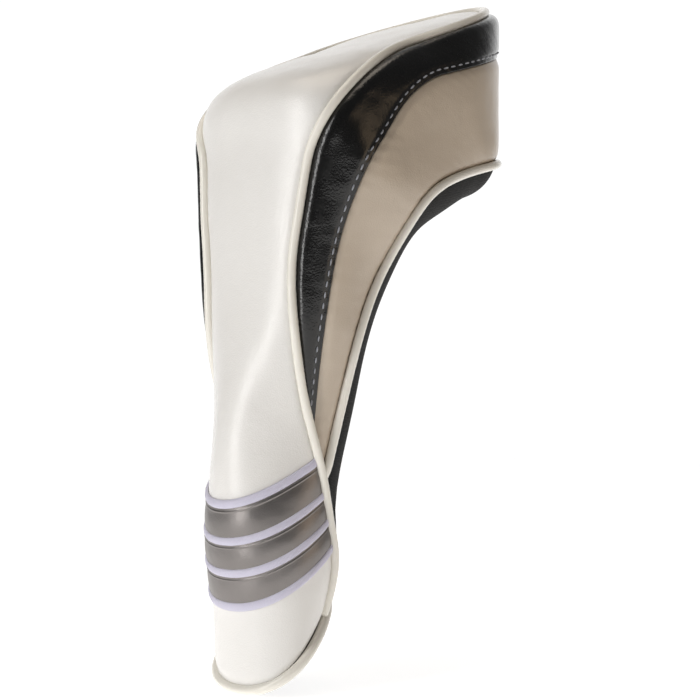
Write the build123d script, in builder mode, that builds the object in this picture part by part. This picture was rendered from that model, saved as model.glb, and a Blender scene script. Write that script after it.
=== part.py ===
from build123d import *
import math
import os
from collections import namedtuple

# Driver head cover: a padded sock, bent like a boot that stands on its leg. The neck runs up
# the Z axis, the head pouch bends over towards +X, and both sides of the XZ plane are the
# same. Right means the -Y side. The origin is on the axis of the round sleeve in the neck,
# at the sleeve's lower end.

# ---- driving dimensions, in millimetres ----
SKIN = 1.2               # polyurethane leather
STRETCH_FABRIC = 2.0     # ribbed stretch fabric of the gusset
PADDING_INSIDE = 4.7     # depth of the padding's inner face below the outer surface
LINING_INSIDE = 6.5      # depth of the lining's inner face in the pouch
NECK_LINING_INSIDE = 5.6 # and in the neck
PIPING_RADIUS = 2.2
CORD_RADIUS = 1.3
HEM_PIPING_RADIUS = 2.5
PIPING_CORNER = 14.0     # radius at the corners of a piping's path
PIPING_START = 0.35      # share of a piping's first run left bare at the hem or the seam's fork
CONTACT_GAP = 0.2        # air left under bands, stitches and elastic
PIPING_GAP = 0.4         # air left under a piping, which cuts its corners a little
SLEEVE_RADIUS = 18.0     # round inside of the neck, clear of the hem straight below
SLEEVE_LENGTH = 40.0
BAND_THICKNESS = 0.8     # silver bands stitched on the neck
EDGING_THICKNESS = 1.5
EDGING_HALF = 2.0        # half the width of a satin edging
ELASTIC_THICKNESS = 1.2
ELASTIC_INSET = 0.01     # from the upper piping's seam to the elastic's ends, as a fraction of the depth
BINDING_OUTSIDE = 4.2    # depths of the hem binding's two faces
BINDING_INSIDE = 5.4
BINDING_LENGTH = 5.5
BAND_MARGIN = 0.05       # from the upper piping's seam to a band's end
STITCH_LENGTH = 3.6
STITCH_PITCH = 5.0
STITCH_RADIUS = 0.4
STITCH_INSET = 0.045     # from the border seam to the stitch row, as a fraction of the depth

# Cross-sections of the cover from the hem to the crown of the pouch. Each one stands on the
# line from the inner bend to the outer spine, two (X, Z) points. Then come the half widths at
# the line's two ends, the exponent of the rounded outline, and how far along the line the
# upper piping, the border of the patent band and the lower piping are.
Station = namedtuple("Station", "inner outer inner_half outer_half squareness upper border lower")
STATIONS = [
    Station((26.5, -21), (-23, -63.5), 20, 33.5, 2.15, 0.26, 0.60, 0.60),
    Station((30, 2), (-25.5, -29), 29.5, 32, 2.15, 0.27, 0.60, 0.60),
    Station((30.5, 23), (-30.5, 12), 30.5, 30, 2.1, 0.345, 0.60, 0.46),
    Station((36.6, 51.3), (-28.7, 61.9), 37, 26.5, 1.9, 0.585, 0.56, 0.385),
    Station((40.9, 84.6), (-19.7, 112.7), 37.5, 44, 2.33, 0.885, 0.695, 0.385),
    Station((52, 117.3), (-18, 162.8), 41.7, 52.2, 2.57, 0.92, 0.695, 0.305),
    Station((65.6, 145), (-16.2, 194.8), 53.5, 60, 2.54, 0.915, 0.675, 0.265),
    Station((84.6, 160), (-8, 222), 56.6, 58.4, 3.05, 0.88, 0.64, 0.24),
    Station((104, 170), (46.5, 244), 52, 62, 3.5, 0.96, 0.77, 0.195),
]
# The toe is swept round the last station's line, from the right side to this line in front.
TOE = Station((125.5, 176), (142, 278), 0, 0, 9, 0.97, 0.71, 0.14)
TOE_ROUNDNESS = 2.0      # exponent of the toe's plan
TOE_STEP = 15.0          # degrees between the toe's cross-sections
STATION_STEP = 0.5       # cross-sections made between two stations
OUTLINE_STEPS = 16       # spans of an outline's spline
POLE_REACH = 0.012       # share of the radius left open round the two poles of the toe
NORMAL_SPAN = 0.02       # outline angle either side of a point, in radians, for its normal
HALVINGS = 30            # steps of the search for a slanted line on the neck
STRIP_END_ROUNDS = 12    # rounds that settle a strip's end beside the upper piping
NECK_CUTTER = 200.0      # wider than the neck

# Where each piece starts, counted in stations from the hem. All layers share the same
# cross-sections, so that they fit each other, and these are whole or half stations.
HEM = 0.0
ELASTIC_START = 1.5
ELASTIC_END = 2.0
ELASTIC_MARGIN = 0.08
SIDE_START = 2.5
BAND_START = 3.0
LINING_SPLIT = 3.0
CROWN = float(len(STATIONS) - 1)

# Middle lines of the satin edgings on the side view: height at the neck's axis, and slope.
EDGINGS = [(41.5, 0.60), (23.0, 0.58), (8.0, 0.62), (-7.2, 0.70)]
BAND_NAMES = ["silver_band_top", "silver_band_middle", "silver_band_bottom"]


# ---- the cover's surface ----
def station_at(place):
    """Station between the given ones, on a smooth curve through them."""
    index = min(int(place), len(STATIONS) - 2)
    part = place - index
    before = STATIONS[max(index - 1, 0)]
    start = STATIONS[index]
    end = STATIONS[index + 1]
    after = STATIONS[min(index + 2, len(STATIONS) - 1)]

    def blend(a, b, c, d):
        slope_b = (c - a) / 2
        slope_c = (d - b) / 2
        bend = 2 * (b - c) + slope_b + slope_c
        rise = 3 * (c - b) - 2 * slope_b - slope_c
        return b + part * (slope_b + part * (rise + part * bend))

    values = []
    for a, b, c, d in zip(before, start, end, after):
        if isinstance(a, tuple):
            values.append(tuple(blend(*pair) for pair in zip(a, b, c, d)))
        else:
            values.append(blend(a, b, c, d))
    return Station(*values)


class Section:
    """Half a cross-section: at a place along the cover, or at an angle round its toe."""

    def __init__(self, place, toe_angle=0.0):
        station = station_at(place)
        turn = math.radians(toe_angle)
        self.place = place
        self.station = station
        self.turn = turn
        self.start = Vector(station.inner[0], 0, station.inner[1])
        self.end = Vector(station.outer[0], 0, station.outer[1])
        self.length = (self.end - self.start).length
        self.along = (self.end - self.start).normalized()
        self.forward = Vector(self.along.Z, 0, -self.along.X)
        side = Vector(0, -1, 0)
        self.across = side * math.cos(turn) + self.forward * math.sin(turn)
        share = math.sin(turn)
        self.squareness = station.squareness + (TOE.squareness - station.squareness) * share**2
        self.upper = station.upper + (TOE.upper - station.upper) * share
        self.border = station.border + (TOE.border - station.border) * share
        self.lower = station.lower + (TOE.lower - station.lower) * share
        self.plane = Plane(origin=self.start, x_dir=self.along, z_dir=self.along.cross(self.across))

    def angle(self, fraction):
        """Outline angle, 0 at the inner bend and pi at the outer spine."""
        cosine = 1 - 2 * fraction
        return math.acos(math.copysign(abs(cosine) ** (self.squareness / 2), cosine))

    def point(self, angle, depth=0.0):
        """Outline point in the section's own plane: along the line, and out from it."""
        power = 2 / self.squareness
        cosine = math.copysign(abs(math.cos(angle)) ** power, math.cos(angle))
        reach = abs(math.sin(angle)) ** power
        fraction = (1 - cosine) / 2
        station = self.station
        half = station.inner_half + (station.outer_half - station.inner_half) * fraction - depth
        along = depth + fraction * (self.length - 2 * depth)
        if self.turn == 0:
            return along, reach * half
        toe_start = Vector(TOE.inner[0], 0, TOE.inner[1])
        toe_end = Vector(TOE.outer[0], 0, TOE.outer[1])
        to_toe = toe_start + (toe_end - toe_start) * fraction
        to_toe = to_toe - self.start - (self.end - self.start) * fraction
        front = to_toe.dot(self.forward) - depth
        width_term = abs(math.cos(self.turn) / half) ** TOE_ROUNDNESS
        front_term = abs(math.sin(self.turn) / front) ** TOE_ROUNDNESS
        radius = (width_term + front_term) ** (-1 / TOE_ROUNDNESS)
        lean = to_toe.dot(self.along) * radius * math.sin(self.turn) / front
        return along + reach * lean, reach * radius

    def world(self, angle, depth=0.0):
        along, out = self.point(angle, depth)
        return self.start + self.along * along + self.across * out

    def normal(self, angle):
        """Outward normal of the outline, in the section's plane."""
        a = Vector(*self.point(angle - NORMAL_SPAN), 0)
        b = Vector(*self.point(angle + NORMAL_SPAN), 0)
        tangent = (b - a).normalized()
        return self.along * -tangent.Y + self.across * tangent.X


def sections(start, end, toe=True):
    """Half sections from a place to another, and on round the toe."""
    count = round((end - start) / STATION_STEP)
    found = [Section(start + STATION_STEP * k) for k in range(count + 1)]
    if toe:
        steps = round(90 / TOE_STEP)
        found += [Section(CROWN, TOE_STEP * k) for k in range(1, steps + 1)]
    return found


def half_shell(chosen, low, high, outside, inside):
    """Right half of a layer between two depths. Low and high give fractions by section."""
    with BuildPart() as shell:
        for section in chosen:
            gap = POLE_REACH ** (section.squareness / 2) if section.turn > 0 else 0.0
            first = max(section.angle(low(section)), gap)
            last = min(section.angle(high(section)), math.pi - gap)
            angles = [first + (last - first) * k / OUTLINE_STEPS for k in range(OUTLINE_STEPS + 1)]
            outer = [section.point(angle, outside) for angle in angles]
            inner = [section.point(angle, inside) for angle in reversed(angles)]
            with BuildSketch(section.plane):
                with BuildLine():
                    Spline(*outer)
                    Line(outer[-1], inner[0])
                    Spline(*inner)
                    Line(inner[-1], outer[0])
                make_face()
        loft(ruled=True)
    return shell.part


def both_halves(right):
    """One piece across the plane of symmetry."""
    with BuildPart() as joined:
        add(right)
        mirror(about=Plane.XZ)
    return joined.part


def tube(points, radius, hollow=0.0, closed=False):
    """Round tube, or a cord if it isn't hollow, along straight runs with rounded corners."""
    with BuildPart() as swept:
        with BuildLine() as path:
            FilletPolyline(*points, radius=PIPING_CORNER, close=closed)
        with BuildSketch(path.line ^ 0):
            Circle(radius)
            if hollow:
                Circle(hollow, mode=Mode.SUBTRACT)
        sweep()
    return swept.part


def surface_at(place, angle, depth):
    """Point of the shell between two neighbouring cross-sections."""
    low = math.floor(place / STATION_STEP) * STATION_STEP
    low = min(low, CROWN - STATION_STEP)
    share = (place - low) / STATION_STEP
    start = Section(low).world(angle, depth)
    end = Section(low + STATION_STEP).world(angle, depth)
    return start + (end - start) * share


def place_on_slope(angle, depth, height, slope):
    """Where a slanted line on the side view crosses the neck at an outline angle."""
    low, high = HEM, SIDE_START + 1
    for _ in range(HALVINGS):
        middle = (low + high) / 2
        point = surface_at(middle, angle, depth)
        if point.Z > height + slope * point.X:
            high = middle
        else:
            low = middle
    return middle


def strip_on_neck(lower_line, upper_line, outside, inside, margin):
    """Right half of a strip across the front of the neck, between two slanted lines."""
    middle_line = tuple((low + high) / 2 for low, high in zip(lower_line, upper_line))
    with BuildPart() as strip:
        for height, slope in (lower_line, middle_line, upper_line):
            angle = math.pi / 2
            for _ in range(STRIP_END_ROUNDS):
                section = Section(place_on_slope(angle, inside, height, slope))
                angle = section.angle(section.upper + margin)
            angles = [angle + (math.pi - angle) * k / OUTLINE_STEPS for k in range(OUTLINE_STEPS + 1)]
            plane = Plane(origin=(0, 0, height), x_dir=(1, 0, slope), z_dir=(-slope, 0, 1))
            edges = []
            for depth, order in ((outside, angles), (inside, angles[::-1])):
                places = [place_on_slope(a, depth, height, slope) for a in order]
                world = [surface_at(p, a, depth) for p, a in zip(places, order)]
                local = [plane.to_local_coords(point) for point in world]
                edges.append([(point.X, point.Y) for point in local])
            outer, inner = edges
            with BuildSketch(plane):
                with BuildLine():
                    Spline(*outer)
                    Line(outer[-1], inner[0])
                    Spline(*inner)
                    Line(inner[-1], outer[0])
                make_face()
        loft(ruled=True)
    return strip.part


def keep(piece, name):
    """Name a finished piece and write it."""
    piece.label = name
    export_step(piece, f"parts/{name}.step")
    return piece


os.makedirs("parts", exist_ok=True)
whole = sections(HEM, CROWN)

# ---- outer leather panels and the stretch gusset ----
front_half = half_shell(whole, lambda s: s.upper, lambda s: 1.0, 0, SKIN)
keep(both_halves(front_half), "front_panel")

band_right = half_shell(sections(BAND_START, CROWN), lambda s: s.border, lambda s: s.upper, 0, SKIN)
keep(band_right, "patent_band_right")
keep(band_right.mirror(Plane.XZ), "patent_band_left")

side_sections = sections(SIDE_START, CROWN)
side_right = half_shell(side_sections, lambda s: s.lower, lambda s: min(s.upper, s.border), 0, SKIN)
keep(side_right, "side_panel_right")
keep(side_right.mirror(Plane.XZ), "side_panel_left")


def gusset_edge(section):
    return min(section.upper, section.lower)


gusset_half = half_shell(whole, lambda s: 0.0, gusset_edge, 0, STRETCH_FABRIC)
keep(both_halves(gusset_half), "back_gusset")

# ---- foam padding behind the leather, and the gusset's backing ----
padding_front = half_shell(whole, lambda s: s.upper, lambda s: 1.0, SKIN, PADDING_INSIDE)
keep(both_halves(padding_front), "front_padding")
padding_right = half_shell(side_sections, lambda s: s.lower, lambda s: s.upper, SKIN, PADDING_INSIDE)
keep(padding_right, "side_padding_right")
keep(padding_right.mirror(Plane.XZ), "side_padding_left")

backing_depths = (STRETCH_FABRIC, PADDING_INSIDE)
below_elastic = sections(HEM, ELASTIC_START, toe=False)
neck_backing = half_shell(below_elastic, lambda s: 0.0, gusset_edge, *backing_depths)
head_backing = half_shell(sections(ELASTIC_END, CROWN), lambda s: 0.0, gusset_edge, *backing_depths)
keep(both_halves(neck_backing), "gusset_backing_neck")
keep(both_halves(head_backing), "gusset_backing_head")

# ---- elastic that gathers the gusset at the neck ----
elastic_outside = STRETCH_FABRIC + 2 * CONTACT_GAP
elastic_sections = [Section(ELASTIC_START + ELASTIC_MARGIN), Section(ELASTIC_END - ELASTIC_MARGIN)]
elastic_half = half_shell(
    elastic_sections,
    lambda s: 0.0,
    lambda s: s.upper - ELASTIC_INSET,
    elastic_outside,
    elastic_outside + ELASTIC_THICKNESS,
)
keep(both_halves(elastic_half), "neck_elastic")

# ---- linings: a knit one in the neck with a round sleeve, and a plush one in the head ----
head_lining = half_shell(
    sections(LINING_SPLIT, CROWN), lambda s: 0.0, lambda s: 1.0, PADDING_INSIDE, LINING_INSIDE
)
keep(head_lining, "head_lining_right")
keep(head_lining.mirror(Plane.XZ), "head_lining_left")


def half_plug(chosen, depth):
    """Right half of everything inside a depth."""
    with BuildPart() as plug:
        for section in chosen:
            angles = [math.pi * k / OUTLINE_STEPS for k in range(OUTLINE_STEPS + 1)]
            edge = [section.point(angle, depth) for angle in angles]
            with BuildSketch(section.plane):
                with BuildLine():
                    Spline(*edge)
                    Line(edge[-1], edge[0])
                make_face()
        loft(ruled=True)
    return plug.part


neck_sections = sections(HEM, LINING_SPLIT, toe=False)
neck_plug = both_halves(half_plug(neck_sections, PADDING_INSIDE))
neck_hollow = both_halves(half_plug(neck_sections, NECK_LINING_INSIDE))
with BuildPart() as sleeve_zone:
    with BuildSketch(Plane.XY):
        Rectangle(NECK_CUTTER, NECK_CUTTER)
    extrude(amount=SLEEVE_LENGTH)
with BuildPart() as neck_lining:
    add(neck_plug)
    add(neck_hollow - sleeve_zone.part, mode=Mode.SUBTRACT)
    with BuildSketch(Plane.XY):
        Circle(SLEEVE_RADIUS)
    extrude(amount=SLEEVE_LENGTH, mode=Mode.SUBTRACT)
keep(neck_lining.part, "neck_lining")

# ---- pipings: a leather tube round a cord, laid on each seam ----
def seam_points(chosen, fraction, lift):
    """Right-hand points over a seam, lifted off the surface, clear of the seam's start."""
    points = []
    for section in chosen:
        angle = section.angle(fraction(section))
        points.append(section.world(angle) + section.normal(angle) * lift)
    points[0] = points[0] + (points[1] - points[0]) * PIPING_START
    return points


def round_the_toe(points):
    """Carry a right-hand path back along the left side."""
    left = [Vector(point.X, -point.Y, point.Z) for point in points[-2::-1]]
    return points + left


piping_lift = PIPING_RADIUS + PIPING_GAP
upper_path = round_the_toe(seam_points(whole, lambda s: s.upper, piping_lift))
lower_path = round_the_toe(seam_points(side_sections, lambda s: s.lower, piping_lift))
for name, path in (("upper", upper_path), ("lower", lower_path)):
    keep(tube(path, PIPING_RADIUS, CORD_RADIUS), f"{name}_piping")
    keep(tube(path, CORD_RADIUS), f"{name}_piping_cord")

# ---- hem: a thicker piping all round, and the binding of the lining inside it ----
hem_section = Section(HEM)
off_the_edge = -hem_section.forward
ring_angles = [math.pi * k / OUTLINE_STEPS for k in range(OUTLINE_STEPS + 1)]
hem_drop = off_the_edge * (HEM_PIPING_RADIUS + CONTACT_GAP)
hem_right = [hem_section.world(angle, SKIN) + hem_drop for angle in ring_angles]
hem_left = [Vector(point.X, -point.Y, point.Z) for point in hem_right[-2:0:-1]]
hem_path = hem_right + hem_left
keep(tube(hem_path, HEM_PIPING_RADIUS, CORD_RADIUS, closed=True), "hem_piping")
keep(tube(hem_path, CORD_RADIUS, closed=True), "hem_piping_cord")

with BuildPart() as binding_half:
    with BuildSketch(hem_section.plane):
        with BuildLine():
            outer = [hem_section.point(angle, BINDING_OUTSIDE) for angle in ring_angles]
            inner = [hem_section.point(angle, BINDING_INSIDE) for angle in reversed(ring_angles)]
            Spline(*outer)
            Line(outer[-1], inner[0])
            Spline(*inner)
            Line(inner[-1], outer[0])
        make_face()
    extrude(dir=Vector(0, 0, -1), amount=BINDING_LENGTH)
keep(both_halves(binding_half.part), "hem_binding")

# ---- three silver bands on the neck, with four satin edgings over their seams ----
def shifted(line, distance):
    """A slanted line moved along its own normal."""
    height, slope = line
    return height + distance * math.hypot(1, slope), slope


for name, above, below in zip(BAND_NAMES, EDGINGS, EDGINGS[1:]):
    lines = (shifted(below, EDGING_HALF + CONTACT_GAP), shifted(above, -EDGING_HALF - CONTACT_GAP))
    half = strip_on_neck(*lines, -CONTACT_GAP - BAND_THICKNESS, -CONTACT_GAP, BAND_MARGIN)
    keep(both_halves(half), name)
for number, line in enumerate(EDGINGS, start=1):
    lines = (shifted(line, -EDGING_HALF), shifted(line, EDGING_HALF))
    half = strip_on_neck(*lines, -CONTACT_GAP - EDGING_THICKNESS, -CONTACT_GAP, BAND_MARGIN)
    keep(both_halves(half), f"band_edging_{number}")

# ---- row of topstitches along the lower edge of each patent band ----
def stitch_line():
    """Close points along the stitch row, with the surface's outward normals."""
    steps = range(int((CROWN - BAND_START - 0.2) * 10))
    rows = [Section(BAND_START + 0.2 + 0.1 * k) for k in steps]
    rows += [Section(CROWN, 3.0 * k) for k in range(1, 30)]
    line = []
    for section in rows:
        angle = section.angle(section.border + STITCH_INSET)
        point = section.world(angle)
        if section.turn == 0:
            point = surface_at(section.place, angle, 0)
        line.append((point, section.normal(angle)))
    return line


def stitch_planes():
    """A plane in the middle of each stitch, facing along the row."""
    line = stitch_line()
    planes = []
    waited = STITCH_PITCH / 2
    for (start, normal), (end, _) in zip(line, line[1:]):
        run = (end - start).length
        waited += run
        if waited >= STITCH_PITCH:
            waited -= STITCH_PITCH
            direction = (end - start).normalized()
            middle = end - direction * waited + normal * (STITCH_RADIUS + CONTACT_GAP * 2)
            planes.append(Plane(origin=middle, z_dir=direction))
    return planes


with BuildPart() as stitches:
    with Locations(*stitch_planes()):
        Cylinder(STITCH_RADIUS, STITCH_LENGTH)
keep(stitches.part, "topstitch_right")
keep(stitches.part.mirror(Plane.XZ), "topstitch_left")
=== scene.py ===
import math
import bmesh
import bpy
import numpy as np
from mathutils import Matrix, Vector, noise


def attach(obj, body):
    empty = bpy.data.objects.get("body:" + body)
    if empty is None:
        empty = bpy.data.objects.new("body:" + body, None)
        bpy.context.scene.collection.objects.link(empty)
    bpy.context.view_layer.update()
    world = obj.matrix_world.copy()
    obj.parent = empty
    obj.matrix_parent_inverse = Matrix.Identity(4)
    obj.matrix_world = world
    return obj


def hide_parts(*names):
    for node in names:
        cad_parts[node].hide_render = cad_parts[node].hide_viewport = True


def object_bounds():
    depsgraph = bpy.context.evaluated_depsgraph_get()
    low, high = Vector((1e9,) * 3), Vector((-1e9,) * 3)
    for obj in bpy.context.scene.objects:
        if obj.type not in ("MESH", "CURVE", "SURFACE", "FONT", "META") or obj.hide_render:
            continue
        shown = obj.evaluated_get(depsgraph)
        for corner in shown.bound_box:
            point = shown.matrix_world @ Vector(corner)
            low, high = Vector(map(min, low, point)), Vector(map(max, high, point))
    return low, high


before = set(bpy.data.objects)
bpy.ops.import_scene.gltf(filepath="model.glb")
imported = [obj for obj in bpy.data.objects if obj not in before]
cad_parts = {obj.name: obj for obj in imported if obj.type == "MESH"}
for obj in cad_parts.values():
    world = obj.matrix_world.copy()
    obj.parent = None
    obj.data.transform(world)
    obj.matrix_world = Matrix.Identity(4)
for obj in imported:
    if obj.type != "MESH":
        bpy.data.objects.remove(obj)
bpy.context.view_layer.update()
MM = 0.001

# The cover's cross-sections, in millimetres, as the CAD part has them: inner bend (X, Z), outer
# spine (X, Z), half widths there, exponent of the outline, and the seams' places on the line.
STATIONS = np.array([
    (26.5, -21, -23, -63.5, 20, 33.5, 2.15, 0.26, 0.60, 0.60),
    (30, 2, -25.5, -29, 29.5, 32, 2.15, 0.27, 0.60, 0.60),
    (30.5, 23, -30.5, 12, 30.5, 30, 2.1, 0.345, 0.60, 0.46),
    (36.6, 51.3, -28.7, 61.9, 37, 26.5, 1.9, 0.585, 0.56, 0.385),
    (40.9, 84.6, -19.7, 112.7, 37.5, 44, 2.33, 0.885, 0.695, 0.385),
    (52, 117.3, -18, 162.8, 41.7, 52.2, 2.57, 0.92, 0.695, 0.305),
    (65.6, 145, -16.2, 194.8, 53.5, 60, 2.54, 0.915, 0.675, 0.265),
    (84.6, 160, -8, 222, 56.6, 58.4, 3.05, 0.88, 0.64, 0.24),
    (104, 170, 46.5, 244, 52, 62, 3.5, 0.96, 0.77, 0.195),
])
# The toe's values, in the same columns; it has no half widths of its own.
TOE = np.array([125.5, 176, 142, 278, 0, 0, 9, 0.97, 0.71, 0.14])
CROWN = len(STATIONS) - 1.0
SIDE_START = 2.5
BAND_START = 3.0
SPACING = 0.055
UPPER, BORDER, LOWER = 7, 8, 9

# Depths of the layers below the outer surface, in millimetres.
SKIN = 1.2
GUSSET_SKIN = 1.9
PADDING_INSIDE = 4.7
LINING_INSIDE = 6.5
NECK_LINING_INSIDE = 5.6
BINDING_DEPTHS = (2.4, 4.2)

# Sizes in millimetres.
BINDING_LENGTH = 5.5
BINDING_ROWS = 9
SLEEVE_RADIUS = 18.0
SLEEVE_BOTTOM, SLEEVE_TOP = 0.0, 40.0
PIPING_RADIUS = 2.15
HEM_PIPING_RADIUS = 2.5

# The edgings' lines on the side view: height where X is 0, and slope.
EDGINGS = [(41.5, 0.60), (23.0, 0.58), (8.0, 0.62), (-7.2, 0.70)]


# ---- the smooth surface ----
def spline_slopes(values, last_slope):
    """Slopes of a cubic spline through the rows, free at its start and clamped at its end."""
    count = len(values)
    matrix = np.zeros((count, count))
    right = np.zeros_like(values)
    matrix[0, 0], matrix[0, 1] = 2, 1
    right[0] = 3 * (values[1] - values[0])
    for k in range(1, count - 1):
        matrix[k, k - 1:k + 2] = 1, 4, 1
        right[k] = 3 * (values[k + 1] - values[k - 1])
    matrix[-1, -1] = 1
    right[-1] = last_slope
    return np.linalg.solve(matrix, right)


# How the values run on past the last station, towards the toe.
CROWN_SLOPE = np.zeros(10)
CROWN_SLOPE[:4] = 0.6 * (TOE[:4] - STATIONS[-1][:4])
CROWN_SLOPE[7:] = (0.0, -0.03, -0.02)
SLOPES = spline_slopes(STATIONS, CROWN_SLOPE)


def values_at(place):
    """The station values at a place along the cover, between the stations too."""
    index = min(int(place), len(STATIONS) - 2)
    t = place - index
    a, b = STATIONS[index], STATIONS[index + 1]
    slope_a, slope_b = SLOPES[index], SLOPES[index + 1]
    from_a = a * (1 + 2 * t) * (1 - t) ** 2 + slope_a * t * (1 - t) ** 2
    from_b = b * t * t * (3 - 2 * t) + slope_b * t * t * (t - 1)
    return from_a + from_b


HALVINGS = 40
SEARCH_MARGIN = 0.01


class Section:
    """Right half of a cross-section, at a place along the cover or at a turn round its toe."""

    def __init__(self, place, turn=0.0):
        values = values_at(place)
        self.place, self.turn = place, turn
        self.base_power = values[6]
        self.start = np.array([values[0], 0, values[1]])
        end = np.array([values[2], 0, values[3]])
        self.line = end - self.start
        self.length = np.linalg.norm(self.line)
        self.along = self.line / self.length
        self.forward = np.array([self.along[2], 0, -self.along[0]])
        self.across = np.array([0, -1, 0]) * math.cos(turn) + self.forward * math.sin(turn)
        share = math.sin(turn)
        self.inner_half, self.outer_half = values[4], values[5]
        self.power = self.base_power + (TOE[6] - self.base_power) * share**2
        self.seam = {k: values[k] + (TOE[k] - values[k]) * share for k in (UPPER, BORDER, LOWER)}

    def angle(self, fraction):
        """Outline angle at a fraction of the line from the inner bend to the outer spine."""
        cosine = 1 - 2 * fraction
        return math.acos(math.copysign(abs(cosine) ** (self.power / 2), cosine))

    def toe_reach(self, fraction, turn, depth):
        """Distance from the line to the surface at a turn round the toe, and its lean along the line."""
        half = self.inner_half + (self.outer_half - self.inner_half) * fraction - depth
        toe_start = np.array([TOE[0], 0, TOE[1]])
        toe_line = np.array([TOE[2] - TOE[0], 0, TOE[3] - TOE[1]])
        to_toe = toe_start - self.start + (toe_line - self.line) * np.asarray(fraction)[..., None]
        front = to_toe @ self.forward - depth
        radius = ((np.cos(turn) / half) ** 2 + (np.sin(turn) / front) ** 2) ** -0.5
        return radius, (to_toe @ self.along) * radius * np.sin(turn) / front

    def outline(self, angles, depth=0.0):
        """World points at outline angles, 0 at the inner bend and pi at the outer spine."""
        cosine = np.sign(np.cos(angles)) * np.abs(np.cos(angles)) ** (2 / self.power)
        reach = np.abs(np.sin(angles)) ** (2 / self.power)
        fraction = (1 - cosine) / 2
        radius, lean = self.toe_reach(fraction, self.turn, depth)
        along = depth + fraction * (self.length - 2 * depth) + reach * lean
        return self.start + along[:, None] * self.along + (reach * radius)[:, None] * self.across

    def cap(self, fraction, sign, count):
        """Points straight across the toe's top (sign 1) or bottom (-1), from seam to midline."""
        seam = self.outline(np.array([self.angle(fraction)]))[0] - self.start
        front, side = seam @ self.forward, -seam[1]
        sides = side * np.linspace(1, 0, count)
        turns = np.arctan2(front, np.maximum(sides, 1e-9))
        reach_wanted = np.hypot(front, sides)
        power = self.base_power + (TOE[6] - self.base_power) * np.sin(turns) ** 2
        low = np.full(count, (fraction if sign > 0 else 1 - fraction) - SEARCH_MARGIN)
        high = np.full(count, 1.0)
        for _ in range(HALVINGS):
            middle = (low + high) / 2
            share = middle if sign > 0 else 1 - middle
            radius, _ = self.toe_reach(share, turns, 0.0)
            reach = np.clip(1 - (2 * middle - 1) ** power, 0, 1) ** (1 / power)
            inside = reach * radius < reach_wanted
            high = np.where(inside, middle, high)
            low = np.where(inside, low, middle)
        share = middle if sign > 0 else 1 - middle
        radius, lean = self.toe_reach(share, turns, 0.0)
        along = share * self.length + lean * reach_wanted / radius
        points = self.start + along[:, None] * self.along + front * self.forward
        points[:, 1] = -sides
        return points


def mirrored(grid):
    return grid * np.array([1, -1, 1])


def lengths_along(points):
    """Distance along a path from its first point to each point."""
    return np.concatenate([[0], np.cumsum(np.linalg.norm(np.diff(points, axis=0), axis=1))])


def at_lengths(rows, lengths, wanted):
    """The rows' values at the wanted lengths."""
    return np.stack([np.interp(wanted, lengths, rows[:, k]) for k in range(3)], 1)


def resample(points, count):
    """Points at even distances along a line."""
    lengths = lengths_along(points)
    return at_lengths(points, lengths, np.linspace(0, 1, count) * lengths[-1])


# Points on an outline before it is resampled, and the steps and last turn round the toe, which
# ends just short of the midline.
FINE = 160
TOE_STEPS = 44
LAST_TURN = math.radians(89.85)


def right_row(section, low, high, count, depth=0.0):
    """A row on the right side between two fractions."""
    angles = np.linspace(section.angle(low), section.angle(high), FINE)
    return resample(section.outline(angles, depth), count)


def across_row(section, fraction, sign, count):
    """A row from the right seam over the midline to the left seam."""
    if section.turn > 0:
        half = section.cap(fraction, sign, FINE)
    else:
        angles = np.linspace(section.angle(fraction), math.pi if sign > 0 else 0.0, FINE)
        half = section.outline(angles)
    return resample(np.vstack([half, mirrored(half[-2::-1])]), count)


def make_sections(start, spacing=SPACING, end=CROWN, toe=True):
    """Sections along the cover from a place on, and then round the toe."""
    count = round((end - start) / spacing)
    found = [Section(start + (end - start) * k / count) for k in range(count + 1)]
    if toe:
        found += [Section(CROWN, LAST_TURN * k / TOE_STEPS) for k in range(1, TOE_STEPS + 1)]
    return found


# ---- mesh helpers ----
def normals_of(grid, outward):
    """Unit normals of a grid of points, turned the way the outward vectors point."""
    rows = np.gradient(grid, axis=0)
    columns = np.gradient(grid, axis=1)
    normal = np.cross(rows, columns)
    normal /= np.linalg.norm(normal, axis=2, keepdims=True) + 1e-12
    flip = np.sign((normal * outward).sum(2).mean())
    return normal * (flip if flip else 1)


def make_object(name, verts, faces, material):
    """A smooth-shaded mesh object from points in millimetres."""
    mesh = bpy.data.meshes.new(name)
    mesh.from_pydata([tuple(v) for v in np.asarray(verts) * MM], [], faces)
    mesh.update()
    mesh.polygons.foreach_set("use_smooth", [True] * len(mesh.polygons))
    piece = bpy.data.objects.new(name, mesh)
    bpy.context.scene.collection.objects.link(piece)
    mesh.materials.append(material)
    return piece


def grid_faces(rows, columns, offset=0, flip=False, wrap=False):
    """Four-sided faces of a grid of points, closed along its rows when wrapped."""
    faces = []
    last = columns if wrap else columns - 1
    for i in range(rows - 1):
        for j in range(last):
            a = offset + i * columns + j
            b = offset + i * columns + (j + 1) % columns
            face = (a, b, b + columns, a + columns)
            faces.append(face[::-1] if flip else face)
    return faces


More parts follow.
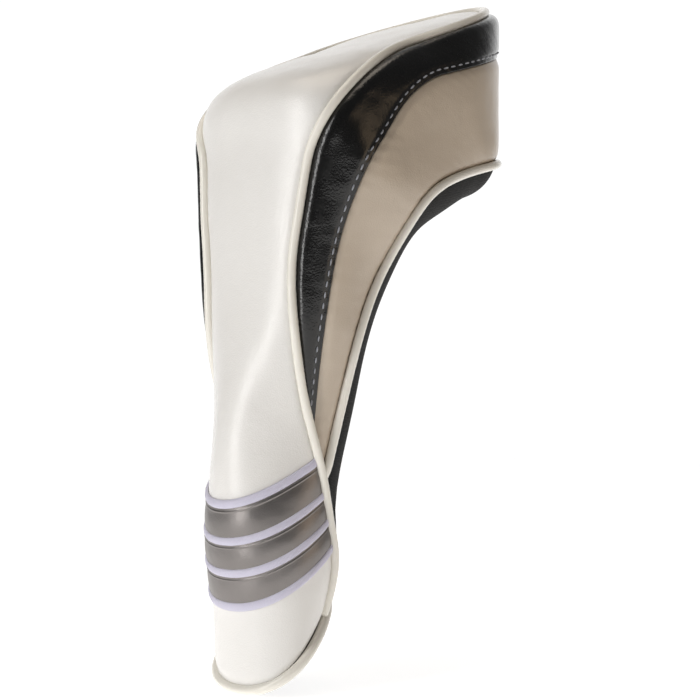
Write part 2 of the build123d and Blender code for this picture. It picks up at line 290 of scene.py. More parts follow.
def sheet_object(name, outer, inner, material, wrap=False):
    """Closed thin solid between two grids of points."""
    rows, columns = outer.shape[:2]
    verts = np.vstack([outer.reshape(-1, 3), inner.reshape(-1, 3)])
    size = rows * columns
    faces = grid_faces(rows, columns, 0, False, wrap) + grid_faces(rows, columns, size, True, wrap)
    edge = []
    if wrap:
        for row in (0, rows - 1):
            ring = [row * columns + j for j in range(columns)] + [row * columns]
            edge.append(ring if row else ring[::-1])
    else:
        top = list(range(columns))
        right = [i * columns + columns - 1 for i in range(rows)]
        bottom = [(rows - 1) * columns + j for j in range(columns)]
        left = [i * columns for i in range(rows)]
        loop = top + right[1:] + bottom[::-1][1:] + left[::-1][1:]
        edge.append(loop[::-1])
    for ring in edge:
        for a, b in zip(ring, ring[1:]):
            faces.append((a, b, b + size, a + size))
    piece = make_object(name, verts, faces, material)
    fix_normals(piece)
    return piece


def fix_normals(piece):
    shape = bmesh.new()
    shape.from_mesh(piece.data)
    bmesh.ops.recalc_face_normals(shape, faces=shape.faces)
    shape.to_mesh(piece.data)
    shape.free()


def subdivide(piece, levels=1):
    modifier = piece.modifiers.new("subdivision", "SUBSURF")
    modifier.levels = modifier.render_levels = levels
    bpy.context.view_layer.objects.active = piece
    with bpy.context.temp_override(object=piece, active_object=piece, selected_objects=[piece]):
        bpy.ops.object.modifier_apply(modifier=modifier.name)
    piece.data.polygons.foreach_set("use_smooth", [True] * len(piece.data.polygons))


def tube_points(path, normals, radius, segments):
    """Rings of a tube round a path; radius may be a number or one value per point."""
    tangent = np.gradient(path, axis=0)
    tangent /= np.linalg.norm(tangent, axis=1, keepdims=True)
    up = normals - (normals * tangent).sum(1, keepdims=True) * tangent
    up /= np.linalg.norm(up, axis=1, keepdims=True)
    side = np.cross(tangent, up)
    angles = np.linspace(0, 2 * math.pi, segments, endpoint=False)[None, :, None]
    radius = np.broadcast_to(radius, (len(path),))[:, None, None]
    ring = np.cos(angles) * up[:, None] + np.sin(angles) * side[:, None]
    return path[:, None] + ring * radius


def tube_object(name, rings, material, closed=False):
    """Closed solid through rings of points, with flat ends or joined end to end."""
    rows, columns = rings.shape[:2]
    verts = rings.reshape(-1, 3)
    faces = grid_faces(rows, columns, 0, False, True)
    if closed:
        last = (rows - 1) * columns
        for j in range(columns):
            k = (j + 1) % columns
            faces.append((last + j, last + k, k, j))
    else:
        faces.append(tuple(range(columns))[::-1])
        faces.append(tuple(range((rows - 1) * columns, rows * columns)))
    piece = make_object(name, verts, faces, material)
    fix_normals(piece)
    return piece


def finish_piece(piece, node):
    """Says which body a piece rides on and which node it replaces."""
    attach(piece, "root")
    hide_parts(node)


def ripple(points, scale, seed=0.0, stretch=(1, 1, 1)):
    """Smooth noise, about -1 to 1, at points in millimetres."""
    flat = points.reshape(-1, 3) * np.array(stretch) / scale + seed
    values = np.array([noise.noise(Vector(p)) for p in flat])
    return values.reshape(points.shape[:-1])


# ---- materials ----
def new_material(name, color, roughness, **sockets):
    """A material with its shader, and helpers that add nodes to it."""
    material = bpy.data.materials.new(name)
    material.use_nodes = True
    nodes, links = material.node_tree.nodes, material.node_tree.links
    shader = next(n for n in nodes if n.type == "BSDF_PRINCIPLED")
    shader.inputs["Base Color"].default_value = (*color, 1)
    shader.inputs["Roughness"].default_value = roughness
    for key, value in sockets.items():
        shader.inputs[key.replace("_", " ")].default_value = value
    coordinates = nodes.new("ShaderNodeTexCoord").outputs["Object"]
    return material, nodes, links, shader, coordinates


def noise_node(nodes, links, coordinates, scale, detail=3.0, rough=0.55):
    texture = nodes.new("ShaderNodeTexNoise")
    texture.inputs["Scale"].default_value = scale
    texture.inputs["Detail"].default_value = detail
    texture.inputs["Roughness"].default_value = rough
    links.new(coordinates, texture.inputs["Vector"])
    return texture.outputs["Fac"]


def cells_node(nodes, links, coordinates, scale):
    texture = nodes.new("ShaderNodeTexVoronoi")
    texture.feature = "F1"
    texture.inputs["Scale"].default_value = scale
    links.new(coordinates, texture.inputs["Vector"])
    return texture.outputs["Distance"]


def wave_node(nodes, links, coordinates, scale, direction, distortion):
    texture = nodes.new("ShaderNodeTexWave")
    texture.bands_direction = direction
    texture.inputs["Scale"].default_value = scale
    texture.inputs["Distortion"].default_value = distortion
    links.new(coordinates, texture.inputs["Vector"])
    return texture.outputs["Fac"]


def bump(nodes, links, shader, layers):
    """Bumps on one another; each layer is a height and its depth in metres."""
    last = None
    for height, depth in layers:
        node = nodes.new("ShaderNodeBump")
        node.inputs["Strength"].default_value = 1.0
        node.inputs["Distance"].default_value = depth
        links.new(height, node.inputs["Height"])
        if last is not None:
            links.new(last, node.inputs["Normal"])
        last = node.outputs["Normal"]
    links.new(last, shader.inputs["Normal"])
    if "Coat Normal" in shader.inputs:
        links.new(last, shader.inputs["Coat Normal"])


def vary(nodes, links, shader, socket, factor, low, high):
    """A socket that wanders between two values or colours."""
    if isinstance(low, tuple):
        mix = nodes.new("ShaderNodeMix")
        mix.data_type = "RGBA"
        mix.inputs[6].default_value = (*low, 1)
        mix.inputs[7].default_value = (*high, 1)
        links.new(factor, mix.inputs[0])
        links.new(mix.outputs[2], shader.inputs[socket])
    else:
        span = nodes.new("ShaderNodeMapRange")
        span.inputs["To Min"].default_value = low
        span.inputs["To Max"].default_value = high
        links.new(factor, span.inputs["Value"])
        links.new(span.outputs["Result"], shader.inputs[socket])


def leather(name, dark, light, roughness, grain=0.00006, cell=1500.0, **sockets):
    """Leather with pebbled grain and fine creases; grain is its depth in metres."""
    material, nodes, links, shader, where = new_material(name, light, roughness[0], **sockets)
    patches = noise_node(nodes, links, where, 35.0, 4.0)
    vary(nodes, links, shader, "Base Color", patches, dark, light)
    vary(nodes, links, shader, "Roughness", noise_node(nodes, links, where, 90.0), *roughness)
    pebbles = cells_node(nodes, links, where, cell)
    creases = noise_node(nodes, links, where, cell * 1.4, 5.0, 0.65)
    waves = noise_node(nodes, links, where, 120.0, 2.0)
    bump(nodes, links, shader, [(waves, 0.0002), (pebbles, grain), (creases, grain * 0.8)])
    return material


def fabric(name, dark, light, roughness, ribs, depth, direction="Z", sheen=0.3, fuzz=2500.0):
    """Cloth, thread or foam with ribs and fuzz; depth is the ribs' in metres."""
    material, nodes, links, shader, where = new_material(name, light, roughness, Sheen_Weight=sheen)
    thread = wave_node(nodes, links, where, ribs, direction, 1.2)
    hairs = noise_node(nodes, links, where, fuzz, 4.0, 0.7)
    vary(nodes, links, shader, "Base Color", hairs, dark, light)
    bump(nodes, links, shader, [(thread, depth), (hairs, depth * 0.7)])
    return material


PEARL = leather(
    "pearl_leather", (0.80, 0.785, 0.755), (0.86, 0.845, 0.82), (0.30, 0.42),
    Coat_Weight=0.6, Coat_Roughness=0.14,
)
# Side panels' leather: the front's pearl leather, darkened and warmed as painted shade.
SHADED_PEARL = leather(
    "beige_pearl_leather", (0.50, 0.42, 0.33), (0.58, 0.49, 0.39), (0.30, 0.42),
    Coat_Weight=0.5, Coat_Roughness=0.16,
)
PATENT = leather(
    "black_patent", (0.002, 0.002, 0.002), (0.004, 0.004, 0.004), (0.22, 0.32), grain=0.00005, cell=1100.0,
    Coat_Weight=0.7, Coat_Roughness=0.07, Specular_IOR_Level=0.25,
)
PIPING = leather(
    "piping_leather", (0.82, 0.79, 0.71), (0.88, 0.85, 0.78), (0.20, 0.28), grain=0.00002,
    Coat_Weight=0.5, Coat_Roughness=0.12,
)
SILVER = leather(
    "silver_leather", (0.195, 0.182, 0.175), (0.27, 0.252, 0.245), (0.30, 0.40), grain=0.00004, cell=1900.0,
    Metallic=0.85,
)
THREAD = fabric("white_thread", (0.56, 0.54, 0.66), (0.76, 0.74, 0.88), 0.45, 900.0, 0.00005, sheen=0.4)
GREY_THREAD = fabric("grey_thread", (0.20, 0.21, 0.25), (0.42, 0.43, 0.47), 0.4, 900.0, 0.00005)
STRETCH = fabric(
    "black_stretch", (0.002, 0.002, 0.002), (0.005, 0.005, 0.005), 0.85, 420.0, 0.0002, sheen=0.0
)
FOAM = fabric(
    "foam", (0.66, 0.62, 0.52), (0.80, 0.77, 0.68), 0.9, 300.0, 0.00005, "X", sheen=0.1, fuzz=1200.0
)
CORD = fabric("cotton_cord", (0.62, 0.58, 0.48), (0.80, 0.76, 0.68), 0.9, 500.0, 0.0002, "DIAGONAL")
ELASTIC = fabric("elastic_tape", (0.03, 0.03, 0.03), (0.07, 0.07, 0.07), 0.8, 350.0, 0.0002)
PLUSH = fabric(
    "plush_lining", (0.012, 0.012, 0.013), (0.045, 0.045, 0.048), 0.95, 60.0, 0.0001, "X",
    sheen=0.8, fuzz=1800.0,
)
KNIT = fabric("knit_lining", (0.015, 0.015, 0.016), (0.05, 0.05, 0.053), 0.9, 260.0, 0.0003, sheen=0.5)
BINDING = fabric(
    "black_binding", (0.008, 0.008, 0.008), (0.02, 0.02, 0.02), 0.7, 500.0, 0.0001, "DIAGONAL"
)


# ---- the sewn panels ----
HANDS = ("right", "left")
FRONT_COLUMNS, GUSSET_COLUMNS, BAND_COLUMNS, SIDE_COLUMNS, JOINED_COLUMNS = 92, 150, 30, 40, 70

# How far, in millimetres, a seam and the hem draw the leather in, and the pitch of the puckers.
SEAM_REACH, HEM_REACH = 2.6, 3.2
CROWN_REACH = 13.0
PUCKER_REACH, PUCKER_PITCH = 5.5, 7.5

# Gathers of the gusset: their place along the cover, their reach and their strength.
GATHERS = [(1.75, 0.35, 1.0), (0.0, 0.25, 0.7)]
GATHER_PITCH = 5.2

# The bands' folded edge, row of stitches and fullness behind the upper piping, in millimetres.
FOLD_WIDTH = 1.2
STITCH_INSET = 2.8
PUFF_INSET, PUFF_REACH = 6.5, 4.6
PUFF_RIGHT, PUFF_LEFT = 1.2, 3.2
TURN_PACE = 0.6


def places(sections):
    """Each section's place, which goes on past the crown with the turn round the toe."""
    return np.array([s.place + s.turn * TURN_PACE for s in sections])[:, None]


def gusset_fraction(section):
    return min(section.seam[UPPER], section.seam[LOWER])


def centre_of(section):
    return section.start + section.line / 2


def outward_of(sections, grid):
    return grid - np.stack([centre_of(s) for s in sections])[:, None]


def turned(grid, hand):
    """Right-hand points as they are, or mirrored for the left hand."""
    return grid if hand == "right" else mirrored(grid)


def distances(grid):
    """Distance along each row from its first and to its last point."""
    steps = np.linalg.norm(np.diff(grid, axis=1), axis=2)
    run = np.concatenate([np.zeros((len(grid), 1)), np.cumsum(steps, 1)], 1)
    return run, run[:, -1:] - run


def runs_down(grid):
    """Distance down each column from the first row."""
    steps = np.linalg.norm(np.diff(grid, axis=0), axis=2)
    return np.concatenate([np.zeros((1, grid.shape[1])), np.cumsum(steps, 0)], 0)


def bell(distance, reach):
    """A smooth bump, 1 at no distance and near 0 past twice the reach."""
    return np.exp(-((distance / reach) ** 2))


def seam_relief(grid, dip=1.3, crown=0.7, pucker=0.3):
    """How far padded leather stands off its smooth shape: drawn in and puckered at its seams."""
    nearest = np.minimum(*distances(grid))
    relief = crown * (1 - np.exp(-nearest / CROWN_REACH)) - dip * bell(nearest, SEAM_REACH)
    beat = 2 * math.pi * runs_down(grid) / PUCKER_PITCH + 2.5 * ripple(grid, 22.0, 3.7)
    strength = 0.5 + 0.5 * ripple(grid, 30.0, 9.1)
    return relief + pucker * np.exp(-nearest / PUCKER_REACH) * np.sin(beat) * strength


def front_relief(grid, place):
    """Relief of the front panel: calm at the hem, fuller up the neck, wandering over the pouch."""
    on_neck = np.clip((place - 2.2) / 0.8, 0, 1)
    on_pouch = np.clip((place - 5.2) / 1.2, 0, 1)
    near_crown = np.clip(place - 6.6, 0, 1)
    relief = seam_relief(grid, crown=0.9) * (0.35 + 0.65 * on_neck)
    relief += 0.55 * on_pouch * ripple(grid, 34.0, 1.3, (1, 0.45, 1))
    relief += 0.5 * near_crown * ripple(grid, 16.0, 5.1, (1.2, 0.5, 0.6))
    relief += 0.25 * on_neck * ripple(grid, 13.0, 8.3, (1, 1, 0.35))
    return relief - 1.1 * bell(runs_down(grid), HEM_REACH)


def gusset_relief_of(grid, place):
    """Relief of the gusset: drawn in at its seams, gathered over the elastic and at the hem."""
    left, right = distances(grid)
    gather = sum(strength * bell(place - middle, reach) for middle, reach, strength in GATHERS)
    folds = 0.55 * np.sin(2 * math.pi * left / GATHER_PITCH + 2 * ripple(grid, 20.0)) - 0.5
    relief = gather * folds - 1.2 * bell(np.minimum(left, right), SEAM_REACH)
    relief += 0.35 * ripple(grid, 18.0, 2.2, (0.6, 1.2, 0.6))
    return relief - 1.0 * bell(runs_down(grid), HEM_REACH)


def panel(sections, low, high, count):
    return np.stack([right_row(s, low(s), high(s), count) for s in sections])


def raised(base, normals, relief):
    return base + normals * relief[..., None]


whole = make_sections(0.0)
side_part = make_sections(SIDE_START)
band_part = make_sections(BAND_START)

front_base = np.stack([across_row(s, s.seam[UPPER], 1, FRONT_COLUMNS) for s in whole])
front_normals = normals_of(front_base, outward_of(whole, front_base))
front_skin = raised(front_base, front_normals, front_relief(front_base, places(whole)))
front = sheet_object("front_panel_leather", front_skin, front_skin - front_normals * SKIN, PEARL)
subdivide(front)
finish_piece(front, "front_panel")

gusset_base = np.stack([across_row(s, gusset_fraction(s), -1, GUSSET_COLUMNS) for s in whole])
gusset_normals = normals_of(gusset_base, outward_of(whole, gusset_base))
gusset_relief = gusset_relief_of(gusset_base, places(whole))
gusset_skin = raised(gusset_base, gusset_normals, gusset_relief)
gusset_inside = gusset_skin - gusset_normals * GUSSET_SKIN
gusset = sheet_object("back_gusset_stretch_fabric", gusset_skin, gusset_inside, STRETCH)
subdivide(gusset)
finish_piece(gusset, "back_gusset")

band_base = panel(band_part, lambda s: s.seam[BORDER], lambda s: s.seam[UPPER], BAND_COLUMNS)
band_normals = normals_of(band_base, outward_of(band_part, band_base))
band_run, band_back = distances(band_base)
band_relief = seam_relief(band_base, dip=1.2, crown=0.6, pucker=0.25)
band_relief += 0.35 * (band_run < FOLD_WIDTH) - 0.3 * bell(band_run - STITCH_INSET, 0.9)
band_relief += 0.18 * ripple(band_base, 9.0, 4.4)
band_puff = bell(band_back - PUFF_INSET, PUFF_REACH) * np.clip(band_run / 8, 0, 1)
before_toe = 1 - np.clip((places(band_part) - CROWN) / 0.9, 0, 1)
fullness = {"right": PUFF_RIGHT, "left": PUFF_RIGHT + (PUFF_LEFT - PUFF_RIGHT) * before_toe}
band_skins = {
    hand: raised(band_base, band_normals, band_relief + fullness[hand] * band_puff) for hand in HANDS
}

side_base = panel(
    side_part, lambda s: s.seam[LOWER], lambda s: min(s.seam[UPPER], s.seam[BORDER]), SIDE_COLUMNS
)
side_normals = normals_of(side_base, outward_of(side_part, side_base))
side_relief = seam_relief(side_base, dip=1.3, crown=0.9, pucker=0.35)
side_relief += 0.4 * ripple(side_base, 24.0, 6.6) + 0.15 * ripple(side_base, 9.0, 2.9)
side_skin = raised(side_base, side_normals, side_relief)

# The side panels use the pearl leather with painted shade on it.
for hand in HANDS:
    for node, slot, material, skin, normals in (
        ("patent_band", "black_patent", PATENT, band_skins[hand], band_normals),
        ("side_panel", "beige_pearl_leather", SHADED_PEARL, side_skin, side_normals),
    ):
        outside, inside = turned(skin, hand), turned(skin - normals * SKIN, hand)
        piece = sheet_object(f"{node}_{hand}_leather", outside, inside, material)
        subdivide(piece)
        finish_piece(piece, f"{node}_{hand}")


# ---- pipings laid in the seams ----
PIPING_LIFT = 0.9
PIPING_SEGMENTS = 18
PIPING_STEP = 1.1
CORD_LAY = 9.0
FORK_START = 2.38
FORK_DEPTH, FORK_REACH = 2.2, 5.0


def seam_line(sections, fraction):
    """Right-hand path just above a seam, and its outward normals."""
    points, normals = [], []
    for section in sections:
        angle = section.angle(fraction(section))
        before, here, after = section.outline(np.array([angle - 0.03, angle, angle + 0.03]))
        tangent = after - before
        normal = np.cross(tangent, np.cross(section.along, section.across))
        normal /= np.linalg.norm(normal)
        if normal @ (here - centre_of(section)) < 0:
            normal = -normal
        points.append(here + normal * PIPING_LIFT)
        normals.append(normal)
    return np.array(points), np.array(normals)


def round_trip(points, normals):
    """The right-hand path and normals, and on along the left hand."""
    return [np.vstack([part, mirrored(part[-2::-1])]) for part in (points, normals)]


def smooth_path(points, normals, step):
    """The same path at even small steps."""
    lengths = lengths_along(points)
    wanted = np.linspace(0, lengths[-1], round(lengths[-1] / step) + 1)
    both = [at_lengths(part, lengths, wanted) for part in (points, normals)]
    kernel = np.array([1, 2, 3, 2, 1]) / 9
    for part in both:
        padded = np.vstack([part[:1]] * 2 + [part] + [part[-1:]] * 2)
        smoothed = np.stack([np.convolve(padded[:, k], kernel, "valid") for k in range(3)], 1)
        part[1:-1] = smoothed[1:-1]
    both[1] /= np.linalg.norm(both[1], axis=1, keepdims=True)
    return both[0], both[1], wanted


def piping(node, points, normals, radius, closed=False):
    """A leather tube that swells a little at its stitches, with a twisted cord inside it."""
    path, up, run = smooth_path(points, normals, PIPING_STEP)
    if closed:
        path, up, run = path[:-1], up[:-1], run[:-1]
    swell = 1 + 0.035 * ripple(path, 9.0, 2.0) + 0.015 * np.sin(2 * math.pi * run / 3.2)
    rings = tube_points(path, up, radius * swell, PIPING_SEGMENTS)
    cover = tube_object(f"{node}_cover", rings, PIPING, closed)
    finish_piece(cover, node)
    twist = 2 * math.pi * run / CORD_LAY
    angles = np.linspace(0, 2 * math.pi, PIPING_SEGMENTS, endpoint=False)
    strands = 1.12 + 0.13 * np.abs(np.cos(1.5 * (angles[None, :] - twist[:, None])))
    spokes = tube_points(path, up, 1.0, PIPING_SEGMENTS) - path[:, None]
    core = path[:, None] + spokes * strands[..., None]
    cord = tube_object(f"{node}_cord_twisted", core, CORD, closed)
    finish_piece(cord, f"{node}_cord")


piping("upper_piping", *round_trip(*seam_line(whole, lambda s: s.seam[UPPER])), PIPING_RADIUS)

fork_part = [Section(place) for place in np.linspace(FORK_START, SIDE_START - 0.02, 4)] + side_part
lower_points, lower_normals = seam_line(fork_part, lambda s: s.seam[LOWER])
under_upper = FORK_DEPTH * bell(lengths_along(lower_points), FORK_REACH)
lower_points = lower_points - lower_normals * under_upper[:, None]
piping("lower_piping", *round_trip(lower_points, lower_normals), PIPING_RADIUS)

hem = Section(0.0)
hem_angles = np.linspace(0, math.pi, 73)
hem_edge = hem.outline(hem_angles)
hem_out = hem_edge - hem.outline(hem_angles, 4.0)
hem_out /= np.linalg.norm(hem_out, axis=1, keepdims=True)
hem_half = hem_edge - hem.forward * (HEM_PIPING_RADIUS * 0.8) + hem_out * 0.6
piping("hem_piping", *round_trip(hem_half, hem_out), HEM_PIPING_RADIUS, closed=True)


# ---- the binding inside the hem ----
def full_ring(section, depth, count=72):
    angles = np.linspace(0, math.pi, count + 1)
    half = section.outline(angles, depth)
    return np.vstack([half, mirrored(half[-2:0:-1])])


drops = np.linspace(-1.0, BINDING_LENGTH, BINDING_ROWS)[:, None, None] * -hem.forward
bulge = 0.35 * np.sin(np.linspace(0, math.pi, BINDING_ROWS))[:, None, None]
binding_out, binding_in = (full_ring(hem, depth) for depth in BINDING_DEPTHS)
away = (binding_out - binding_in) / np.linalg.norm(binding_out - binding_in, axis=1, keepdims=True)
binding_out = binding_out + drops + away * bulge
binding_in = binding_in + drops - away * bulge
binding = sheet_object("hem_binding_tape", binding_out, binding_in, BINDING, wrap=True)
subdivide(binding)
finish_piece(binding, "hem_binding")


# ---- silver bands and satin edgings on the neck ----
STRIP_MARGIN = 1.5
NECK_ROWS = int(3.6 / SPACING)
BAND_COUNT, THREAD_COUNT = 200, 900
EDGING_HALF = 1.95
EDGING_OVERLAP = 1.6
THREAD_PITCH = 0.62
RIB_PLACE, RIB_REACH = 0.12, 0.018

# Where a silver band's rows lie between its two borders: close together over its rib and edges.
BAND_SHARES = np.array(
    [0, 0.02, 0.06, 0.09, 0.105, 0.12, 0.135, 0.15, 0.18, 0.3, 0.4, 0.5, 0.6, 0.7, 0.8, 0.88, 0.94, 0.98, 1.0]
)

neck_skin, neck_normals = front_skin[:NECK_ROWS], front_normals[:NECK_ROWS]


def on_slope(height, slope, count):
    """Points and normals where a slanted line on the side view crosses the front of the neck."""
    rise = neck_skin[..., 2] - (height + slope * neck_skin[..., 0])
    columns = np.arange(neck_skin.shape[1])
    rows = np.argmax(rise > 0, axis=0)
    above, below = rise[rows, columns], rise[rows - 1, columns]
    share = (above / (above - below))[:, None]
    points = neck_skin[rows, columns] * (1 - share) + neck_skin[rows - 1, columns] * share
    normals = neck_normals[rows, columns] * (1 - share) + neck_normals[rows - 1, columns] * share
    lengths = lengths_along(points)
    wanted = np.linspace(STRIP_MARGIN, lengths[-1] - STRIP_MARGIN, count)
    points, normals = (at_lengths(part, lengths, wanted) for part in (points, normals))
    return points, normals / np.linalg.norm(normals, axis=1, keepdims=True)


def dents(points, share, seed):
    """Soft dents of a silver band."""
    return 0.12 * ripple(points, 14.0, 3.0 + seed) + 0.05 * ripple(points, 4.0, 7.0)


def threads(points, share, seed):
    """Ridges of satin stitches side by side, which slant a little across the edging."""
    turns = math.pi * lengths_along(points) / THREAD_PITCH
    return 0.2 * np.abs(np.sin(turns + 0.7 * share)) + 0.05 * ripple(points, 2.2, 4.0 + seed)


def strip(name, node, material, lines, heights, count, ridge, seed):
    """A thin strip that follows the neck; heights give its outer face above the leather."""
    outer, inner = [], []
    for (height, slope), lift in zip(lines, heights):
        points, normals = on_slope(height, slope, count)
        lifts = lift + ridge(points, len(outer) / (len(lines) - 1), seed)
        outer.append(points + normals * lifts[:, None])
        inner.append(points + normals * min(0.15, lift - 0.1))
    piece = sheet_object(name, np.array(outer), np.array(inner), material)
    finish_piece(piece, node)


def between(line_a, line_b, share):
    return tuple(a + (b - a) * share for a, b in zip(line_a, line_b))


def shifted(line, distance):
    return line[0] + distance * math.hypot(1, line[1]), line[1]


rib = 0.28 * bell(BAND_SHARES - RIB_PLACE, RIB_REACH)
puff = 0.85 + 0.35 * np.sin(math.pi * np.clip((BAND_SHARES - 0.16) / 0.84, 0, 1))
for number, (label, upper, lower) in enumerate(zip(("top", "middle", "bottom"), EDGINGS, EDGINGS[1:])):
    high, low = shifted(upper, -EDGING_OVERLAP), shifted(lower, EDGING_OVERLAP)
    node = f"silver_band_{label}"
    lines = [between(high, low, share) for share in BAND_SHARES]
    name = f"{node}_leather"
    strip(name, node, SILVER, lines, puff + rib, BAND_COUNT, dents, number)

across = np.linspace(-1, 1, 11)
dome = 0.35 + 1.05 * np.sqrt(np.clip(1 - across**2, 0, 1))
for number, line in enumerate(EDGINGS, start=1):
    lines = [shifted(line, EDGING_HALF * t) for t in -across]
    node = f"band_edging_{number}"
    name = f"{node}_satin_stitch"
    strip(name, node, THREAD, lines, dome, THREAD_COUNT, threads, number)


# ---- a row of stitches along the patent bands ----
STITCHES = 58
STITCH_LENGTH = 3.4
STITCH_RADIUS = 0.42
STITCH_SEGMENTS = 8
STITCH_MARGIN = 1.2
STITCH_STEP = 0.3
FIRST_ROW = 4


def at_inset(grid):
    """Values of the band's rows at the stitches' distance from its border, past its pointed end."""
    rows = [at_lengths(row, run, [STITCH_INSET])[0] for row, run in zip(grid, band_run)]
    return np.array(rows)[FIRST_ROW:]


path, up, run = smooth_path(at_inset(band_skins["right"]), at_inset(band_normals), STITCH_STEP)
pitch = (run[-1] - 3.0) / STITCHES
verts, faces = [], []
for number in range(STITCHES):
    start = STITCH_MARGIN + number * pitch
    inside = (run >= start) & (run <= start + STITCH_LENGTH)
    share = np.linspace(-1, 1, inside.sum())
    spine = path[inside] + up[inside] * (0.28 - 0.45 * np.abs(share) ** 4)[:, None]
    radius = STITCH_RADIUS * np.sqrt(np.clip(1.04 - share**2, 0, 1))
    rings = tube_points(spine, up[inside], radius, STITCH_SEGMENTS)
    offset = len(verts)
    verts.extend(rings.reshape(-1, 3))
    faces += grid_faces(len(spine), STITCH_SEGMENTS, offset, False, True)
    for first in (offset, len(verts) - STITCH_SEGMENTS):
        faces.append(tuple(range(first, first + STITCH_SEGMENTS)))
for hand in HANDS:
    piece = make_object(f"topstitch_{hand}_thread", turned(np.array(verts), hand), faces, GREY_THREAD)
    fix_normals(piece)
    finish_piece(piece, f"topstitch_{hand}")


# ---- foam and elastic behind the leather ----
FOAM_GAP = 0.1
ELASTIC_OUTSIDE, ELASTIC_THICKNESS = 3.4, 1.0
WEAVE_PITCH = 1.4
NECK_END = int(round(1.5 / SPACING)) + 1
HEAD_START = int(round(2.0 / SPACING))


def foam_depth(sections, normals):
    """Depth of the foam's inner face square to the leather, which slants across the sections."""
    planes = np.stack([np.cross(s.along, s.across) for s in sections])
    return (PADDING_INSIDE - FOAM_GAP) * np.sqrt(1 - (normals * planes[:, None]).sum(2) ** 2)


def backing(node, skin, base, normals, outside, inside):
    """Foam behind a skin: its outer face follows the skin, its inner face is smooth."""
    outer = skin - normals * outside
    inner = base - normals * (inside + 0.15 * ripple(base, 6.0, 3.3))[..., None]
    piece = sheet_object(f"{node}_foam", outer, inner, FOAM)
    subdivide(piece)
    finish_piece(piece, node)


front_depth = foam_depth(whole, front_normals)
backing("front_padding", front_skin, front_base, front_normals, SKIN + FOAM_GAP, front_depth)

joined_base = panel(side_part, lambda s: s.seam[LOWER], lambda s: s.seam[UPPER], JOINED_COLUMNS)
joined_normals = normals_of(joined_base, outward_of(side_part, joined_base))
joined_relief = np.minimum(seam_relief(joined_base, pucker=0.0), 0) - 0.8
joined_skin = raised(joined_base, joined_normals, joined_relief)
joined_depth = foam_depth(side_part, joined_normals)
for hand in HANDS:
    skin, base, normals = (turned(grid, hand) for grid in (joined_skin, joined_base, joined_normals))
    backing(f"side_padding_{hand}", skin, base, normals, SKIN + FOAM_GAP, joined_depth)

foam_skin = raised(gusset_base, gusset_normals, np.minimum(gusset_relief, 0) - 0.2)
gusset_depth = foam_depth(whole, gusset_normals)
for label, rows in (("neck", slice(0, NECK_END)), ("head", slice(HEAD_START, None))):
    skin, base, normals = foam_skin[rows], gusset_base[rows], gusset_normals[rows]
    outside = GUSSET_SKIN + 2 * FOAM_GAP
    backing(f"gusset_backing_{label}", skin, base, normals, outside, gusset_depth[rows])

elastic_rows = slice(NECK_END, HEAD_START - 1)
elastic_normals = gusset_normals[elastic_rows]
weave = 0.12 * np.sin(2 * math.pi * distances(gusset_base)[0] / WEAVE_PITCH)[elastic_rows]
elastic_base = gusset_base[elastic_rows] - elastic_normals * (ELASTIC_OUTSIDE - weave)[..., None]
elastic_inside = elastic_base - elastic_normals * ELASTIC_THICKNESS
elastic = sheet_object("neck_elastic_tape", elastic_base, elastic_inside, ELASTIC)
finish_piece(elastic, "neck_elastic")


# ---- linings of the pouch and of the neck ----
LINING_START = 3.05
LINING_COLUMNS = 110
LINING_EDGES = (0.0001, 0.9999)
LINING_GAP = 0.05
SLEEVE_EASE = 1.2
KNIT_RIBS = 44

lining_part = make_sections(LINING_START)


def lining_rows(depth):
    return np.stack([right_row(s, *LINING_EDGES, LINING_COLUMNS, depth) for s in lining_part])


lining_base = lining_rows(0.0)
lining_normals = normals_of(lining_base, outward_of(lining_part, lining_base))
lining_outer = lining_rows(PADDING_INSIDE + LINING_GAP)
lining_inner = lining_rows(LINING_INSIDE)
lining_inner = lining_inner - lining_normals * (0.25 * ripple(lining_inner, 2.5, 1.1))[..., None]
for hand in HANDS:
    outside, inside = turned(lining_outer, hand), turned(lining_inner, hand)
    piece = sheet_object(f"head_lining_{hand}_plush", outside, inside, PLUSH)
    finish_piece(piece, f"head_lining_{hand}")

neck_part = make_sections(0.0, 0.04, end=3.0, toe=False)
neck_outer = np.stack([full_ring(s, PADDING_INSIDE + LINING_GAP) for s in neck_part])
neck_inner = np.stack([full_ring(s, NECK_LINING_INSIDE) for s in neck_part])
reach = np.hypot(neck_inner[..., 0], neck_inner[..., 1])
height = neck_inner[..., 2]
above_bottom = 1 / (1 + np.exp(-(height - SLEEVE_BOTTOM) / SLEEVE_EASE))
below_top = 1 / (1 + np.exp((height - SLEEVE_TOP) / SLEEVE_EASE))
ribs = 0.35 * np.sin(np.arctan2(neck_inner[..., 1], neck_inner[..., 0]) * KNIT_RIBS)
wanted = np.minimum(reach, SLEEVE_RADIUS + 0.4 + ribs)
shrink = (reach + (wanted - reach) * above_bottom * below_top) / reach
neck_inner = neck_inner * np.stack([shrink, shrink, np.ones_like(shrink)], -1)
neck_lining = sheet_object("neck_lining_knit", neck_outer, neck_inner, KNIT, wrap=True)
finish_piece(neck_lining, "neck_lining")


# ---- floor, light and camera ----
FLOOR_RADIUS, FLOOR_THICKNESS, FLOOR_GAP = 1.4, 0.004, 0.0001
MIDDLE = Vector((0.045, 0, 0.11))
CAMERA_AIM = Vector((0.05145, 0, 0.0942))
CAMERA_AZIMUTH, CAMERA_ELEVATION, CAMERA_DISTANCE = math.radians(-42.9), math.radians(0.8), 0.835
VIEW_RIGHT, VIEW_BACK = Vector((0.7325, -0.6807, 0)), Vector((-0.6807, -0.7325, 0))
UP = Vector((0, 0, 1))


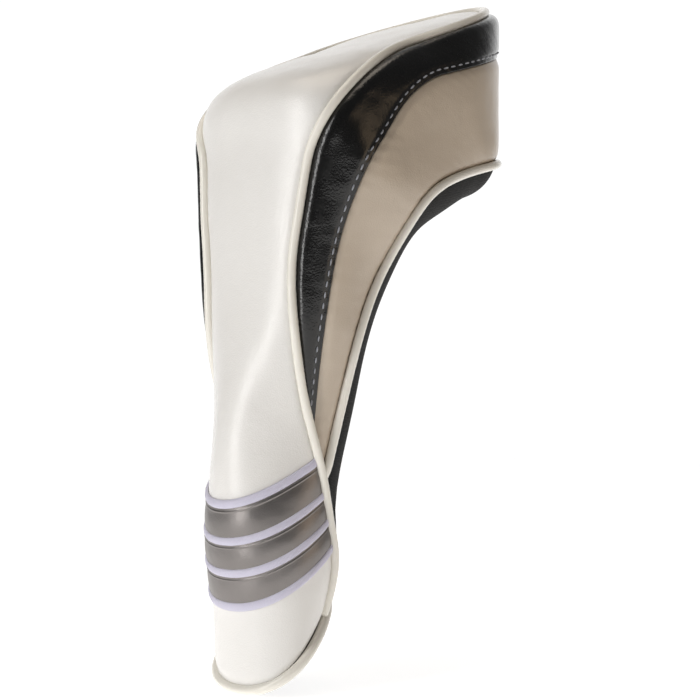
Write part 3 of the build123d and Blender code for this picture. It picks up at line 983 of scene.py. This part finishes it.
def lay_floor():
    """A pale floor just below the lowest point, with a glow of its own so that it reads as white."""
    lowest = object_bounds()[0][2]
    middle_height = lowest - FLOOR_THICKNESS / 2 - FLOOR_GAP
    bpy.ops.mesh.primitive_cylinder_add(
        vertices=128, radius=FLOOR_RADIUS, depth=FLOOR_THICKNESS, location=(0.03, 0, middle_height)
    )
    floor = bpy.context.object
    floor.name = "floor"
    material, nodes, links, shader, where = new_material("pale_floor", (0.86, 0.86, 0.86), 0.75)
    shader.inputs["Emission Color"].default_value = (1, 1, 1, 1)
    shader.inputs["Emission Strength"].default_value = 0.74
    patches = noise_node(nodes, links, where, 60.0)
    vary(nodes, links, shader, "Base Color", patches, (0.85, 0.85, 0.85), (0.88, 0.88, 0.88))
    floor.data.materials.append(material)


def softbox(name, place, size, power, color):
    """A rectangular lamp aimed at the middle of the cover."""
    light = bpy.data.lights.new(name, "AREA")
    light.shape = "RECTANGLE"
    light.size, light.size_y = size
    light.energy, light.color = power, color
    lamp = bpy.data.objects.new(name, light)
    bpy.context.scene.collection.objects.link(lamp)
    lamp.location = place
    lamp.rotation_euler = (MIDDLE - place).to_track_quat("-Z", "Y").to_euler()


def light_world():
    """A world that is white where the main camera looks and dark grey elsewhere."""
    world = bpy.data.worlds.new("studio")
    bpy.context.scene.world = world
    world.use_nodes = True
    nodes, links = world.node_tree.nodes, world.node_tree.links
    background = next(n for n in nodes if n.type == "BACKGROUND")
    where = nodes.new("ShaderNodeTexCoord").outputs["Generated"]
    dot = nodes.new("ShaderNodeVectorMath")
    dot.operation = "DOT_PRODUCT"
    links.new(where, dot.inputs[0])
    dot.inputs[1].default_value = tuple(-VIEW_BACK)
    span = nodes.new("ShaderNodeMapRange")
    span.interpolation_type = "SMOOTHSTEP"
    ends = {"From Min": 0.45, "From Max": 0.93, "To Min": 0.10, "To Max": 1.06}
    for name, value in ends.items():
        span.inputs[name].default_value = value
    links.new(dot.outputs["Value"], span.inputs["Value"])
    links.new(span.outputs["Result"], background.inputs["Strength"])
    background.inputs["Color"].default_value = (1, 1, 1, 1)
    bpy.context.scene.view_settings.view_transform = "Standard"


def place_camera():
    camera_data = bpy.data.cameras.new("camera")
    camera_data.lens, camera_data.sensor_width = 85.6, 36
    camera = bpy.data.objects.new("camera", camera_data)
    bpy.context.scene.collection.objects.link(camera)
    level = math.cos(CAMERA_ELEVATION)
    away = Vector((
        math.sin(CAMERA_AZIMUTH) * level,
        -math.cos(CAMERA_AZIMUTH) * level,
        math.sin(CAMERA_ELEVATION),
    ))
    camera.location = CAMERA_AIM + away * CAMERA_DISTANCE
    camera.rotation_euler = away.to_track_quat("Z", "Y").to_euler()
    bpy.context.scene.camera = camera


lay_floor()
key_place = MIDDLE - VIEW_RIGHT * 1.0 + VIEW_BACK * 0.75 + UP * 0.35
fill_place = MIDDLE + VIEW_RIGHT * 1.1 + VIEW_BACK * 0.5 + UP * 0.1
softbox("key_light", key_place, (0.30, 1.3), 8.0, (1, 0.99, 0.98))
softbox("top_light", MIDDLE + UP * 1.1 - VIEW_RIGHT * 0.15, (0.8, 0.8), 3.6, (1, 0.89, 0.76))
softbox("warm_fill", fill_place, (0.5, 0.9), 1.3, (1, 0.74, 0.48))
light_world()
place_camera()
